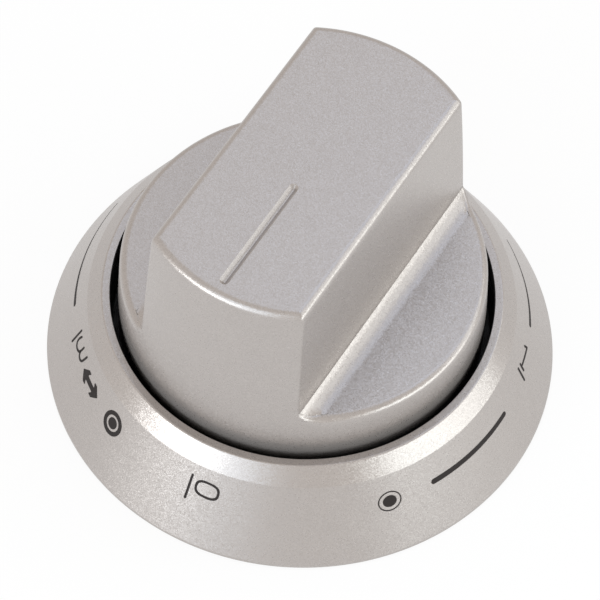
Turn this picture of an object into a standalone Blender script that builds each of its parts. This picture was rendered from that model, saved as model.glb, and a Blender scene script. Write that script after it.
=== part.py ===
# Cooker selector knob: a bar grip on a disc, turning in a fixed dial ring.
# Metres, +Z up along the turning axis. The origin is the centre of the ring's base.
# The pointer end of the grip is towards -Y, which is the knob's "off" position.

import math

import bmesh
import bpy
from mathutils import Matrix, Vector

MM = 0.001
SEAT_GAP = 0.3 * MM              # between two pieces that touch

# Dial ring
RING_RADIUS = 31.0 * MM          # at the foot
RING_FOOT_HEIGHT = 0.6 * MM      # upright edge at the foot
RING_SHOULDER_RADIUS = 25.9 * MM
RING_SHOULDER_HEIGHT = 10.35 * MM
RING_CREST_RADIUS = 24.0 * MM
RING_CREST_ROUND = 0.3 * MM      # of the edge between the bevel and the sloping band
RING_HEIGHT = 12.45 * MM
RING_LIP_RADIUS = 23.1 * MM      # the opening that the knob turns in
RING_LIP_DROP = 0.25 * MM        # the thin bevel inside the crest
RING_LIP_DEPTH = 3.0 * MM        # upright wall below the lip
RING_WALL = 1.6 * MM

# Knob
KNOB_RUNNING_GAP = 0.95 * MM     # between the knob and the ring's lip
KNOB_SKIRT_BOTTOM = 6.4 * MM
DISC_HEIGHT = 18.85 * MM         # top of the flats beside the grip
DISC_EDGE_ROUND = 0.9 * MM
GRIP_HEIGHT = 39.0 * MM
GRIP_WIDTH = 20.1 * MM           # across the top
GRIP_SIDE_DRAFT = math.radians(2.3)
GRIP_END_RADIUS = 20.25 * MM     # of the arcs at both ends, at the top
KNOB_DRAFT = math.radians(2.0)   # of the turned side where it leaves the ring
GRIP_CORNER_ROUND = 0.6 * MM      # of the upright edges
LEAST_CORNER_ROUND = 0.05 * MM
GRIP_TOP_ROUND = 0.9 * MM
GRIP_FOOT_FILLET = 2.0 * MM      # hollow curve between the grip's sides and the flats
KNOB_WALL = 1.8 * MM
POINTER_WIDTH = 1.05 * MM
POINTER_DEPTH = 0.4 * MM
POINTER_START = 2.8 * MM         # from the axis
POINTER_END = 18.6 * MM

# Stem of the knob, with the bush for the switch's spindle
STEM_BOTTOM = 1.0 * MM
STEM_WALL = 1.5 * MM
BUSH_RADIUS = 4.4 * MM
BUSH_LENGTH = 20.0 * MM
BUSH_KEY_WIDTH = 1.6 * MM
BUSH_KEY_HEIGHT = 0.8 * MM
SPINDLE_BORE_RADIUS = 3.05 * MM
SPINDLE_FLAT_OFFSET = 1.6 * MM   # from the axis to the flat of the D
CORE_RADIUS = 3.6 * MM           # hollow of the stem above the bush
WEB_THICKNESS = 1.2 * MM
WEB_COUNT = 6
WEB_BOTTOM = 11.2 * MM
SPINE_THICKNESS = 1.5 * MM

# Leaf spring that presses the spindle against the flat
CLIP_THICKNESS = 0.4 * MM
CLIP_WIDTH = 3.0 * MM
CLIP_LENGTH = 12.0 * MM
CLIP_BOW = 0.5 * MM
CLIP_BOTTOM = 4.0 * MM

# Carrier: the black inner moulding that the ring and the stem are held by
CARRIER_FOOT = 2.0 * MM
CARRIER_FLANGE = 1.4 * MM
CARRIER_FLOOR_BOTTOM = 3.6 * MM
CARRIER_FLOOR = 1.6 * MM
CARRIER_SLEEVE = 1.2 * MM
CARRIER_RIM_INSET = 0.5 * MM      # of the foot's inner edge from the sleeve's inner face
STEM_RUNNING_GAP = 0.3 * MM

# Retaining ring under the carrier's floor
CIRCLIP_THICKNESS = 0.6 * MM
CIRCLIP_WIDTH = 2.2 * MM
CIRCLIP_GROOVE_DEPTH = 0.6 * MM
CIRCLIP_OPENING = math.radians(70.0)

# Spring and washer between the carrier and the knob
SPRING_WIRE_RADIUS = 0.4 * MM
SPRING_COIL_RADIUS = 9.0 * MM
SPRING_TURNS = 3.0
SPRING_POINTS_PER_TURN = 18
WASHER_WIDTH = 3.0 * MM
WASHER_THICKNESS = 0.5 * MM

# Gasket between the ring and the cooker's panel
GASKET_WIDTH = 5.0 * MM
GASKET_BOTTOM = 0.3 * MM

TURN_STEPS = 84                  # facets round the turned pieces

# Sizes that follow from the ones above
KNOB_RADIUS = RING_LIP_RADIUS - KNOB_RUNNING_GAP
STEM_BORE_RADIUS = BUSH_RADIUS + SEAT_GAP
STEM_RADIUS = STEM_BORE_RADIUS + STEM_WALL
BUSH_TOP = STEM_BOTTOM + BUSH_LENGTH
BUSH_SOCKET_TOP = BUSH_TOP + SEAT_GAP
CIRCLIP_TOP = CARRIER_FLOOR_BOTTOM - SEAT_GAP
CIRCLIP_BOTTOM = CIRCLIP_TOP - CIRCLIP_THICKNESS
CIRCLIP_GROOVE_RADIUS = STEM_RADIUS - CIRCLIP_GROOVE_DEPTH
CIRCLIP_INNER_RADIUS = CIRCLIP_GROOVE_RADIUS + SEAT_GAP
CARRIER_FLOOR_TOP = CARRIER_FLOOR_BOTTOM + CARRIER_FLOOR
SLEEVE_OUTER_RADIUS = RING_LIP_RADIUS + CARRIER_SLEEVE
CARRIER_RECESS_RADIUS = RING_LIP_RADIUS - CARRIER_RIM_INSET
SLEEVE_TOP = RING_HEIGHT - RING_LIP_DROP - RING_LIP_DEPTH - SEAT_GAP
WASHER_TOP = WEB_BOTTOM - SEAT_GAP
SPRING_TOP = WASHER_TOP - WASHER_THICKNESS - SEAT_GAP
SPRING_BOTTOM = CARRIER_FLOOR_TOP + SEAT_GAP

COLLECTION_NAME = "cooker_selector_knob"


def clear_scene():
    for item in list(bpy.data.objects):
        bpy.data.objects.remove(item, do_unlink=True)


def new_collection(name):
    collection = bpy.data.collections.new(name)
    bpy.context.scene.collection.children.link(collection)
    return collection


def plain_material(name, colour, roughness, metallic=0.0):
    material = bpy.data.materials.new(name)
    material.use_nodes = True
    shader = material.node_tree.nodes["Principled BSDF"]
    shader.inputs["Base Color"].default_value = (*colour, 1.0)
    shader.inputs["Roughness"].default_value = roughness
    shader.inputs["Metallic"].default_value = metallic
    return material


def add_object(name, mesh, collection, material=None):
    item = bpy.data.objects.new(name, mesh)
    collection.objects.link(item)
    if material:
        mesh.materials.append(material)
    return item


def mesh_from_bmesh(name, bm):
    mesh = bpy.data.meshes.new(name)
    bm.to_mesh(mesh)
    bm.free()
    return mesh


def smooth(mesh, angle=35.0):
    mesh.shade_smooth()
    mesh.set_sharp_from_angle(angle=math.radians(angle))


def baked(item):
    """The object's evaluated mesh, as a new mesh without modifiers."""
    graph = bpy.context.evaluated_depsgraph_get()
    return bpy.data.meshes.new_from_object(item.evaluated_get(graph))


def bake_in_place(item):
    mesh = baked(item)
    item.modifiers.clear()
    item.data = mesh


def turned(name, profile, collection, material, steps=TURN_STEPS):
    """A closed (radius, height) outline, given down its outer side, turned about Z."""
    bm = bmesh.new()
    points = [bm.verts.new((radius, 0.0, height)) for radius, height in profile]
    for index, point in enumerate(points):
        bm.edges.new((point, points[(index + 1) % len(points)]))
    item = add_object(name, mesh_from_bmesh(name, bm), collection, material)
    screw = item.modifiers.new("turn", "SCREW")
    screw.steps = steps
    screw.render_steps = steps
    screw.use_merge_vertices = True
    screw.merge_threshold = 0.00001
    bake_in_place(item)
    smooth(item.data)
    return item


def cylinder(name, radius, bottom, top, collection, segments=48):
    bm = bmesh.new()
    place = Matrix.Translation((0.0, 0.0, (bottom + top) / 2))
    bmesh.ops.create_cone(bm, cap_ends=True, segments=segments, radius1=radius,
                          radius2=radius, depth=top - bottom, matrix=place)
    return add_object(name, mesh_from_bmesh(name, bm), collection)


def box(name, low, high, collection):
    """A box from its lowest to its highest corner."""
    bm = bmesh.new()
    size = Vector(high) - Vector(low)
    centre = (Vector(high) + Vector(low)) / 2
    place = Matrix.Translation(centre) @ Matrix.Diagonal((*size, 1.0))
    bmesh.ops.create_cube(bm, size=1.0, matrix=place)
    return add_object(name, mesh_from_bmesh(name, bm), collection)


def plate(name, outline, thickness, turn, collection):
    """An upright plate from its (reach, height) outline, turned about Z."""
    bm = bmesh.new()
    face = bm.faces.new([bm.verts.new((reach, thickness / 2, height)) for reach, height in outline])
    grown = bmesh.ops.extrude_face_region(bm, geom=[face])
    moved = [item for item in grown["geom"] if isinstance(item, bmesh.types.BMVert)]
    bmesh.ops.translate(bm, vec=(0.0, -thickness, 0.0), verts=moved)
    bmesh.ops.rotate(bm, cent=(0.0, 0.0, 0.0), matrix=Matrix.Rotation(turn, 3, "Z"), verts=bm.verts)
    bmesh.ops.recalc_face_normals(bm, faces=bm.faces)
    return add_object(name, mesh_from_bmesh(name, bm), collection)


def apply_boolean(item, tool, operation):
    """Cut or join with a tool, which stays in its collection as a guide."""
    modifier = item.modifiers.new(tool.name, "BOOLEAN")
    modifier.operation = operation
    modifier.object = tool
    modifier.solver = "EXACT"
    tool.hide_render = True
    tool.display_type = "WIRE"
    bake_in_place(item)


def arc(centre, radius, start, end, count):
    """Points on an arc from one angle to another, in radians."""
    points = []
    for index in range(count + 1):
        angle = start + (end - start) * index / count
        points.append((centre[0] + radius * math.cos(angle), centre[1] + radius * math.sin(angle)))
    return points


def make_dial_ring(collection, material):
    lip_top = RING_HEIGHT - RING_LIP_DROP
    ledge = lip_top - RING_LIP_DEPTH
    inner_foot = RING_RADIUS - RING_WALL
    # The round at the crest runs on into the band, a straight line down to the shoulder.
    centre = (RING_CREST_RADIUS, RING_HEIGHT - RING_CREST_ROUND)
    reach = RING_SHOULDER_RADIUS - centre[0]
    drop = centre[1] - RING_SHOULDER_HEIGHT
    band_angle = math.acos(RING_CREST_ROUND / math.hypot(reach, drop)) - math.atan2(drop, reach)
    crest = arc(centre, RING_CREST_ROUND, math.radians(90.0), band_angle, 3)
    profile = [(RING_LIP_RADIUS, lip_top)]
    profile += crest
    profile += [
        (RING_SHOULDER_RADIUS, RING_SHOULDER_HEIGHT),
        (RING_RADIUS, RING_FOOT_HEIGHT),
        (RING_RADIUS, 0.2 * MM),
        (RING_RADIUS - 0.2 * MM, 0.0),
        (inner_foot, 0.0),
        (inner_foot, RING_FOOT_HEIGHT),
        (SLEEVE_OUTER_RADIUS + SEAT_GAP, ledge - 1.0 * MM),
        (SLEEVE_OUTER_RADIUS + SEAT_GAP, ledge),
        (RING_LIP_RADIUS, ledge),
    ]
    return turned("dial_ring", profile, collection, material)


def ring_inner_radius(height):
    """Radius of the dial ring's inner face, below its ledge."""
    ledge = RING_HEIGHT - RING_LIP_DROP - RING_LIP_DEPTH - 1.0 * MM
    inner_foot = RING_RADIUS - RING_WALL
    top_radius = SLEEVE_OUTER_RADIUS + SEAT_GAP
    share = (height - RING_FOOT_HEIGHT) / (ledge - RING_FOOT_HEIGHT)
    return inner_foot + (top_radius - inner_foot) * max(0.0, share)


def make_ring_carrier(collection, material):
    flange_top = CARRIER_FOOT + CARRIER_FLANGE
    flange_radius = ring_inner_radius(flange_top) - SEAT_GAP
    hole = STEM_RADIUS + STEM_RUNNING_GAP
    profile = [
        (RING_LIP_RADIUS, SLEEVE_TOP),
        (SLEEVE_OUTER_RADIUS, SLEEVE_TOP),
        (SLEEVE_OUTER_RADIUS, flange_top),
        (flange_radius, flange_top),
        (flange_radius, CARRIER_FOOT),
        (CARRIER_RECESS_RADIUS, CARRIER_FOOT),
        (CARRIER_RECESS_RADIUS, CARRIER_FLOOR_BOTTOM),
        (hole, CARRIER_FLOOR_BOTTOM),
        (hole, CARRIER_FLOOR_TOP),
        (RING_LIP_RADIUS, CARRIER_FLOOR_TOP),
    ]
    return turned("ring_carrier", profile, collection, material)


def make_base_gasket(collection, material):
    top = CARRIER_FOOT - SEAT_GAP
    outer = ring_inner_radius(top) - SEAT_GAP
    inner = outer - GASKET_WIDTH
    profile = [
        (inner, top),
        (outer, top),
        (outer, GASKET_BOTTOM),
        (inner, GASKET_BOTTOM),
    ]
    return turned("base_gasket", profile, collection, material)


def grip_outline(half_width, end_radius, corner, inset=0.0):
    """The grip's plan at one height: two arcs, two straight sides and four round corners.

    The points go counterclockwise from the +X side's far corner, always the same number,
    so that outlines at different heights can be lofted."""
    end_steps, corner_steps, side_steps = 10, 3, 20
    half_width -= inset
    end_radius -= inset
    corner = max(corner - inset, LEAST_CORNER_ROUND)
    centre_x = half_width - corner
    centre_y = math.sqrt((end_radius - corner) ** 2 - centre_x ** 2)
    spread = math.atan2(centre_x, centre_y)
    quarter = []
    for index in range(side_steps // 2):
        angle = math.atan2(centre_y, half_width) * index / (side_steps // 2)
        quarter.append((half_width, half_width * math.tan(angle)))
    quarter += arc((centre_x, centre_y), corner, 0.0, math.pi / 2 - spread, corner_steps)
    for index in range(1, end_steps // 2 + 1):
        angle = math.pi / 2 - spread + spread * index / (end_steps // 2)
        quarter.append((end_radius * math.cos(angle), end_radius * math.sin(angle)))
    half = quarter + [(-x, y) for x, y in reversed(quarter[:-1])]
    return half + [(-x, -y) for x, y in half[1:-1]]


def grip_half_width(height, wall=0.0):
    return GRIP_WIDTH / 2 + (GRIP_HEIGHT - height) * math.tan(GRIP_SIDE_DRAFT) - wall


def knob_end_radius(height, wall=0.0):
    """The knob's turned side: upright in the ring, then leaning in more and more."""
    if height <= RING_HEIGHT:
        return KNOB_RADIUS - wall
    rise = height - RING_HEIGHT
    full_rise = GRIP_HEIGHT - RING_HEIGHT
    bend = (KNOB_RADIUS - GRIP_END_RADIUS - math.tan(KNOB_DRAFT) * full_rise) / full_rise ** 2
    return KNOB_RADIUS - math.tan(KNOB_DRAFT) * rise - bend * rise ** 2 - wall


def pushed_out(points, radius):
    """Points moved out along their own direction to at least this radius."""
    moved = []
    for x, y in points:
        length = math.hypot(x, y)
        scale = max(1.0, radius / length)
        moved.append((x * scale, y * scale))
    return moved


def knob_rings():
    """The knob's outline at each height, from the skirt's bottom to the top of the grip."""
    rings = []
    fillet_steps, side_steps, edge_steps, top_steps = 5, 4, 4, 4
    base_width = grip_half_width(DISC_HEIGHT) + GRIP_FOOT_FILLET
    edge_foot = DISC_HEIGHT - DISC_EDGE_ROUND
    for height in (KNOB_SKIRT_BOTTOM, RING_HEIGHT, edge_foot):
        radius = knob_end_radius(height)
        rings.append((height, pushed_out(grip_outline(base_width, radius, GRIP_CORNER_ROUND), radius)))
    for index in range(1, edge_steps + 1):
        angle = math.pi / 2 * index / edge_steps
        height = edge_foot + DISC_EDGE_ROUND * math.sin(angle)
        end_radius = knob_end_radius(height)
        edge_radius = knob_end_radius(edge_foot) - DISC_EDGE_ROUND * (1.0 - math.cos(angle))
        outline = grip_outline(base_width, end_radius, GRIP_CORNER_ROUND)
        rings.append((height, pushed_out(outline, edge_radius)))
    for index in range(fillet_steps + 1):
        angle = math.pi / 2 * index / fillet_steps
        height = DISC_HEIGHT + GRIP_FOOT_FILLET * (1.0 - math.cos(angle))
        flare = GRIP_FOOT_FILLET * (1.0 - math.sin(angle))
        width = grip_half_width(height) + flare
        rings.append((height, grip_outline(width, knob_end_radius(height), GRIP_CORNER_ROUND)))
    side_foot = DISC_HEIGHT + GRIP_FOOT_FILLET
    side_top = GRIP_HEIGHT - GRIP_TOP_ROUND
    for index in range(1, side_steps):
        height = side_foot + (side_top - side_foot) * index / side_steps
        rings.append((height, grip_outline(grip_half_width(height), knob_end_radius(height),
                                           GRIP_CORNER_ROUND)))
    for index in range(top_steps + 1):
        angle = math.pi / 2 * index / top_steps
        height = side_top + GRIP_TOP_ROUND * math.sin(angle)
        inset = GRIP_TOP_ROUND * (1.0 - math.cos(angle))
        outline = grip_outline(grip_half_width(height), knob_end_radius(height),
                               GRIP_CORNER_ROUND, inset)
        rings.append((height, outline))
    return rings


def hollow_rings():
    """The hollow inside the knob, open at the skirt, one wall smaller than the outside."""
    roof = GRIP_HEIGHT - KNOB_WALL
    disc_roof = DISC_HEIGHT - KNOB_WALL
    corner = GRIP_CORNER_ROUND

    def outline(height):
        return grip_outline(grip_half_width(height, KNOB_WALL), knob_end_radius(height, KNOB_WALL), corner)

    below = KNOB_SKIRT_BOTTOM - 1.0 * MM
    wide = pushed_out(outline(disc_roof), knob_end_radius(disc_roof, KNOB_WALL))
    levels = [disc_roof + (roof - disc_roof) * index / 3 for index in range(4)]
    return [(below, wide), (disc_roof, wide)] + [(height, outline(height)) for height in levels]


def lofted(name, rings, collection, material=None):
    """A closed skin over outlines of equal count, lowest first."""
    bm = bmesh.new()
    rows = []
    for height, outline in rings:
        rows.append([bm.verts.new((x, y, height)) for x, y in outline])
    count = len(rows[0])
    for lower, upper in zip(rows, rows[1:]):
        for index in range(count):
            after = (index + 1) % count
            bm.faces.new((lower[index], lower[after], upper[after], upper[index]))
    bm.faces.new(list(reversed(rows[0])))
    bm.faces.new(rows[-1])
    bmesh.ops.remove_doubles(bm, verts=bm.verts, dist=0.0000005)
    bmesh.ops.recalc_face_normals(bm, faces=bm.faces)
    return add_object(name, mesh_from_bmesh(name, bm), collection, material)


def make_pointer_cutter(collection):
    """A slot with round ends, on the pointer half of the grip's top."""
    radius = POINTER_WIDTH / 2
    near = (0.0, -POINTER_START - radius)
    far = (0.0, -POINTER_END + radius)
    outline = arc(far, radius, math.pi, 2 * math.pi, 8) + arc(near, radius, 0.0, math.pi, 8)
    heights = (GRIP_HEIGHT - POINTER_DEPTH, GRIP_HEIGHT + 1.0 * MM)
    return lofted("pointer_cutter", [(height, outline) for height in heights], collection)


def make_knob_shell(collection, cutters, material):
    shell = lofted("knob_shell", knob_rings(), collection, material)
    apply_boolean(shell, lofted("knob_hollow", hollow_rings(), cutters), "DIFFERENCE")
    buried = KNOB_WALL / 2
    stem = cylinder("stem_solid", STEM_RADIUS, STEM_BOTTOM, GRIP_HEIGHT - buried, cutters)
    apply_boolean(shell, stem, "UNION")
    inner = STEM_RADIUS - STEM_WALL / 2
    web_top = DISC_HEIGHT - buried
    web_end = knob_end_radius(web_top, buried)
    web = ((inner, WEB_BOTTOM), (web_end, WEB_BOTTOM), (web_end, web_top), (inner, web_top))
    for index in range(WEB_COUNT):
        turn = math.pi / 2 + 2 * math.pi * index / WEB_COUNT
        apply_boolean(shell, plate(f"web_{index + 1}", web, WEB_THICKNESS, turn, cutters), "UNION")
    spine_top = GRIP_HEIGHT - buried
    spine = [(inner, WEB_BOTTOM)]
    for index in range(5):
        height = WEB_BOTTOM + (spine_top - WEB_BOTTOM) * index / 4
        spine.append((knob_end_radius(height, buried), height))
    spine.append((inner, spine_top))
    for index in range(2):
        turn = math.pi / 2 + math.pi * index
        apply_boolean(shell, plate(f"spine_{index + 1}", spine, SPINE_THICKNESS, turn, cutters), "UNION")
    below = STEM_BOTTOM - 1.0 * MM
    socket = cylinder("bush_socket", STEM_BORE_RADIUS, below, BUSH_SOCKET_TOP, cutters)
    apply_boolean(shell, socket, "DIFFERENCE")
    core = cylinder("stem_core", CORE_RADIUS, BUSH_TOP, GRIP_HEIGHT - KNOB_WALL, cutters)
    apply_boolean(shell, core, "DIFFERENCE")
    half = BUSH_KEY_WIDTH / 2 + SEAT_GAP
    keyway = box("bush_keyway", (0.0, -half, below),
                 (BUSH_RADIUS + BUSH_KEY_HEIGHT + SEAT_GAP, half, BUSH_SOCKET_TOP), cutters)
    apply_boolean(shell, keyway, "DIFFERENCE")
    groove = turned("circlip_groove", [
        (CIRCLIP_GROOVE_RADIUS, CIRCLIP_TOP + SEAT_GAP),
        (STEM_RADIUS + 1.0 * MM, CIRCLIP_TOP + SEAT_GAP),
        (STEM_RADIUS + 1.0 * MM, CIRCLIP_BOTTOM - SEAT_GAP),
        (CIRCLIP_GROOVE_RADIUS, CIRCLIP_BOTTOM - SEAT_GAP),
    ], cutters, None, 48)
    apply_boolean(shell, groove, "DIFFERENCE")
    apply_boolean(shell, make_pointer_cutter(cutters), "DIFFERENCE")
    smooth(shell.data)
    return shell


def make_shaft_bush(collection, cutters, material):
    bush = cylinder("shaft_bush", BUSH_RADIUS, STEM_BOTTOM, BUSH_TOP, collection)
    bush.data.materials.append(material)
    half = BUSH_KEY_WIDTH / 2
    key = box("bush_key", (BUSH_RADIUS / 2, -half, STEM_BOTTOM),
              (BUSH_RADIUS + BUSH_KEY_HEIGHT, half, BUSH_TOP), cutters)
    apply_boolean(bush, key, "UNION")
    flat = SPINDLE_FLAT_OFFSET
    reach = math.acos(flat / SPINDLE_BORE_RADIUS)
    outline = arc((0.0, 0.0), SPINDLE_BORE_RADIUS, math.pi / 2 + reach, 2.5 * math.pi - reach, 24)
    heights = (STEM_BOTTOM - 1.0 * MM, BUSH_TOP + 1.0 * MM)
    bore = lofted("spindle_bore", [(height, outline) for height in heights], cutters)
    apply_boolean(bush, bore, "DIFFERENCE")
    half = CLIP_WIDTH / 2 + SEAT_GAP
    pocket = box("clip_pocket", (-half, -BUSH_RADIUS - 1.0 * MM, CLIP_BOTTOM - SEAT_GAP),
                 (half, 0.0, CLIP_BOTTOM + CLIP_LENGTH + SEAT_GAP), cutters)
    apply_boolean(bush, pocket, "DIFFERENCE")
    smooth(bush.data)
    return bush


def make_spindle_clip(collection, material):
    """A bowed leaf that lies in the bush's pocket, with its belly towards the spindle."""
    bm = bmesh.new()
    steps = 10
    outer = -STEM_BORE_RADIUS + SEAT_GAP + 0.1 * MM
    rows = []
    for index in range(steps + 1):
        share = index / steps
        height = CLIP_BOTTOM + CLIP_LENGTH * share
        bow = CLIP_BOW * math.sin(math.pi * share)
        back = outer + bow
        front = back + CLIP_THICKNESS
        half = CLIP_WIDTH / 2
        corners = ((-half, back), (half, back), (half, front), (-half, front))
        rows.append([bm.verts.new((x, y, height)) for x, y in corners])
    for lower, upper in zip(rows, rows[1:]):
        for side in range(4):
            after = (side + 1) % 4
            bm.faces.new((lower[side], lower[after], upper[after], upper[side]))
    bm.faces.new(list(reversed(rows[0])))
    bm.faces.new(rows[-1])
    return add_object("spindle_clip", mesh_from_bmesh("spindle_clip", bm), collection, material)


def make_stem_circlip(collection, material):
    """An open flat ring, made as an outline with round ends."""
    inner = CIRCLIP_INNER_RADIUS
    outer = inner + CIRCLIP_WIDTH
    middle = (inner + outer) / 2
    half = CIRCLIP_OPENING / 2
    start, end = half, 2 * math.pi - half
    tip = CIRCLIP_WIDTH / 2
    outline = arc((0.0, 0.0), outer, start, end, 36)
    outline += arc((middle * math.cos(end), middle * math.sin(end)), tip, end, end + math.pi, 6)[1:-1]
    outline += arc((0.0, 0.0), inner, end, start, 36)
    outline += arc((middle * math.cos(start), middle * math.sin(start)), tip,
                   start + math.pi, start + 2 * math.pi, 6)[1:-1]
    return lofted("stem_circlip", [(CIRCLIP_BOTTOM, outline), (CIRCLIP_TOP, outline)],
                  collection, material)


def make_seat_spring(collection, material):
    """A coil of round wire whose first and last turns lie nearly flat."""
    curve = bpy.data.curves.new("seat_spring", "CURVE")
    curve.dimensions = "3D"
    curve.bevel_depth = SPRING_WIRE_RADIUS
    curve.bevel_resolution = 2
    curve.use_fill_caps = True
    count = int(SPRING_TURNS * SPRING_POINTS_PER_TURN) + 1
    low = SPRING_BOTTOM + SPRING_WIRE_RADIUS
    high = SPRING_TOP - SPRING_WIRE_RADIUS
    closed_rise = SPRING_WIRE_RADIUS * 2 + SEAT_GAP / 2
    spline = curve.splines.new("POLY")
    spline.points.add(count - 1)
    for index in range(count):
        turn = index / SPRING_POINTS_PER_TURN
        open_turns = SPRING_TURNS - 2.0
        if turn < 1.0:
            height = low + closed_rise * turn
        elif turn > SPRING_TURNS - 1.0:
            height = high - closed_rise * (SPRING_TURNS - turn)
        else:
            share = (turn - 1.0) / open_turns
            height = low + closed_rise + (high - low - 2 * closed_rise) * share
        angle = 2 * math.pi * turn
        spline.points[index].co = (SPRING_COIL_RADIUS * math.cos(angle),
                                   SPRING_COIL_RADIUS * math.sin(angle), height, 1.0)
    item = bpy.data.objects.new("seat_spring", curve)
    collection.objects.link(item)
    curve.materials.append(material)
    return item


def make_slip_washer(collection, material):
    inner = SPRING_COIL_RADIUS - WASHER_WIDTH / 2
    outer = SPRING_COIL_RADIUS + WASHER_WIDTH / 2
    low = WASHER_TOP - WASHER_THICKNESS
    profile = [(inner, WASHER_TOP), (outer, WASHER_TOP), (outer, low), (inner, low)]
    return turned("slip_washer", profile, collection, material, 48)


def main():
    clear_scene()
    parts = new_collection(COLLECTION_NAME)
    cutters = new_collection("cutters")
    silver = (0.47, 0.46, 0.45)
    black = (0.012, 0.012, 0.013)
    steel = (0.55, 0.55, 0.56)

    make_dial_ring(parts, plain_material("ring_paint", silver, 0.35, 0.6))
    make_ring_carrier(parts, plain_material("carrier_plastic", black, 0.6))
    make_base_gasket(parts, plain_material("gasket_rubber", (0.03, 0.03, 0.03), 0.9))
    make_seat_spring(parts, plain_material("spring_steel", steel, 0.3, 1.0))
    make_slip_washer(parts, plain_material("washer_nylon", (0.75, 0.73, 0.68), 0.5))
    knob = bpy.data.objects.new("knob_axis", None)
    parts.objects.link(knob)
    turning = [
        make_knob_shell(parts, cutters, plain_material("knob_paint", silver, 0.35, 0.6)),
        make_shaft_bush(parts, cutters, plain_material("bush_steel", steel, 0.4, 1.0)),
        make_spindle_clip(parts, plain_material("clip_steel", steel, 0.3, 1.0)),
        make_stem_circlip(parts, plain_material("circlip_steel", steel, 0.35, 1.0)),
    ]
    for item in turning:
        item.parent = knob


main()
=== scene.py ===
# Cooker selector knob, dressed: a silver bar grip turning in a flared dial ring.
# The dictionaries hold millimetres and degrees, and mm turns millimetres into metres.

from math import acos, atan2, ceil, copysign, cos, hypot, pi, radians, sin, sqrt, tan

import bmesh
import bpy
from mathutils import Matrix, Vector


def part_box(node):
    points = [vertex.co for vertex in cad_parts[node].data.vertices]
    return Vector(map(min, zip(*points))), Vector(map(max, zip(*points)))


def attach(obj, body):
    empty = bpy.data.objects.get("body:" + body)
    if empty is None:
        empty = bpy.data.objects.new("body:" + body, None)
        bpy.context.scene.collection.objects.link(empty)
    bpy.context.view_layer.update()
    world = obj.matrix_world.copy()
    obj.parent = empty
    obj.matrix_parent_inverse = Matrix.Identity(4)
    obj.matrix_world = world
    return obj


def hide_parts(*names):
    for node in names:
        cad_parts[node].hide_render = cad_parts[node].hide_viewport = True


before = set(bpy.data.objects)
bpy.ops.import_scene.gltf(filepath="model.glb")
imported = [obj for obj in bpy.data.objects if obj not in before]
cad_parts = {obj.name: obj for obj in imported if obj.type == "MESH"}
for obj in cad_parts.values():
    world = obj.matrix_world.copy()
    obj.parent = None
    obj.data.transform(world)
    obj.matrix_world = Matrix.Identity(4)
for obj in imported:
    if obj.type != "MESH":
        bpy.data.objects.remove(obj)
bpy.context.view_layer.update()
mm = 0.001
quarterTurn = pi / 2
fullTurn = 2 * pi
holdGap = 0.04  # distance of the extra points that keep flats flat beside a round
weldGap = 0.0004  # points nearer than this are one point
cutPast = 1.0  # how far a cutter reaches beyond what it cuts
print("frame loaded:", ", ".join(sorted(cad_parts)))


# Meshes

def meshFrom(name, bm):
    bmesh.ops.recalc_face_normals(bm, faces=bm.faces)
    mesh = bpy.data.meshes.new(name)
    bm.to_mesh(mesh)
    bm.free()
    return mesh


def addObject(name, data):
    added = bpy.data.objects.new(name, data)
    bpy.context.scene.collection.objects.link(added)
    return added


def shadeByAngle(mesh, sharpAngle):
    mesh.shade_smooth()
    mesh.set_sharp_from_angle(angle=radians(sharpAngle))


def addPiece(name, mesh, material=None, sharpAngle=30.0):
    if material:
        mesh.materials.append(material)
    shadeByAngle(mesh, sharpAngle)
    return addObject(name, mesh)


def bakeModifiers(piece):
    graph = bpy.context.evaluated_depsgraph_get()
    mesh = bpy.data.meshes.new_from_object(piece.evaluated_get(graph))
    piece.modifiers.clear()
    piece.data = mesh


def applyBoolean(piece, toolMesh, operation, material=None):
    if material:
        toolMesh.materials.append(material)
    tool = addObject("tool", toolMesh)
    modifier = piece.modifiers.new("boolean", "BOOLEAN")
    modifier.operation = operation
    modifier.object = tool
    modifier.solver = "EXACT"
    modifier.material_mode = "TRANSFER"
    bakeModifiers(piece)
    bpy.data.objects.remove(tool, do_unlink=True)


def bevelEdges(piece, width, sharpAngle):
    bevel = piece.modifiers.new("edges", "BEVEL")
    bevel.width = width * mm
    bevel.segments = 2
    bevel.limit_method = "ANGLE"
    bevel.angle_limit = radians(sharpAngle)
    bakeModifiers(piece)


# Evenly spaced values, with the first and the last one.
def evenSteps(start, end, count):
    return [start + (end - start) * step / count for step in range(count + 1)]


def arcPoints(radius, start, end, steps, centre=(0.0, 0.0)):
    points = []
    for angle in evenSteps(start, end, steps):
        points.append((centre[0] + radius * cos(angle), centre[1] + radius * sin(angle)))
    return points


# A closed outline from (x, y, round) corners: each corner becomes an arc of that radius.
def roundedOutline(corners, stepAngle):
    outline = []
    for index, (x, y, radius) in enumerate(corners):
        here = Vector((x, y))
        before = Vector(corners[index - 1][:2])
        after = Vector(corners[(index + 1) % len(corners)][:2])
        back = (before - here).normalized()
        ahead = (after - here).normalized()
        opening = back.angle(ahead)
        if radius <= 0.0 or opening > radians(178.0):
            outline.append((x, y))
            continue
        centre = here + (back + ahead).normalized() * radius / sin(opening / 2)
        first = here + back * radius / tan(opening / 2) - centre
        last = here + ahead * radius / tan(opening / 2) - centre
        start = atan2(first.y, first.x)
        turn = atan2(last.y, last.x) - start
        turn = (turn + pi) % fullTurn - pi
        steps = max(2, ceil(abs(turn) / radians(stepAngle)))
        outline += arcPoints(radius, start, start + turn, steps, centre)
    return outline


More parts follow.
